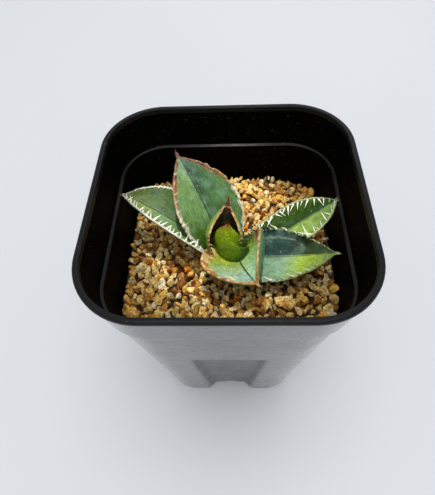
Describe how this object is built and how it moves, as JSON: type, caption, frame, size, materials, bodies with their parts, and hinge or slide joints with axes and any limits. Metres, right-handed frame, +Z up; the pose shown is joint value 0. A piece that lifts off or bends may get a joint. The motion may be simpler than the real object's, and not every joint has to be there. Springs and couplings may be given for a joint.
{
  "type": "potted agave",
  "caption": "Young agave rosette with broad spined leaves in a deep square black nursery pot filled with fine mineral grit.",
  "frame": {"origin": "middle of the pot's footprint, on the surface it stands on", "axes": "+Z up, +X right and +Y back with the front leaf towards -Y; the pot's sides lie along X and Y"},
  "size_m": [0.09, 0.09, 0.115],
  "materials": {
    "pot_plastic": "satin black moulded plastic with scuffs",
    "mineral_grit": "loose dry grains of fired clay and pumice",
    "stem": "fibrous",
    "leaf_blue_green": "waxy blue-green leaf with a pale horny margin",
    "leaf_dull_green": "waxy dull green leaf with pale teeth",
    "leaf_mid_green": "waxy mid-green leaf with pale teeth",
    "leaf_teal": "waxy teal leaf, yellow-green towards its tip",
    "leaf_pale_blue": "waxy pale blue-green leaf with a tan horny margin",
    "leaf_young": "waxy young leaf with a tan margin",
    "leaf_yellow_green": "waxy bright yellow-green leaf"
  },
  "bodies": {
    "root": {"pot": "pot_plastic", "grit": "mineral_grit", "stem_and_roots": "stem", "leaf_back": "leaf_blue_green", "leaf_left": "leaf_dull_green", "leaf_right_back": "leaf_mid_green", "leaf_right_front": "leaf_teal", "leaf_front": "leaf_pale_blue", "leaf_inner": "leaf_young", "leaf_centre": "leaf_yellow_green"}
  },
  "joints": []
}
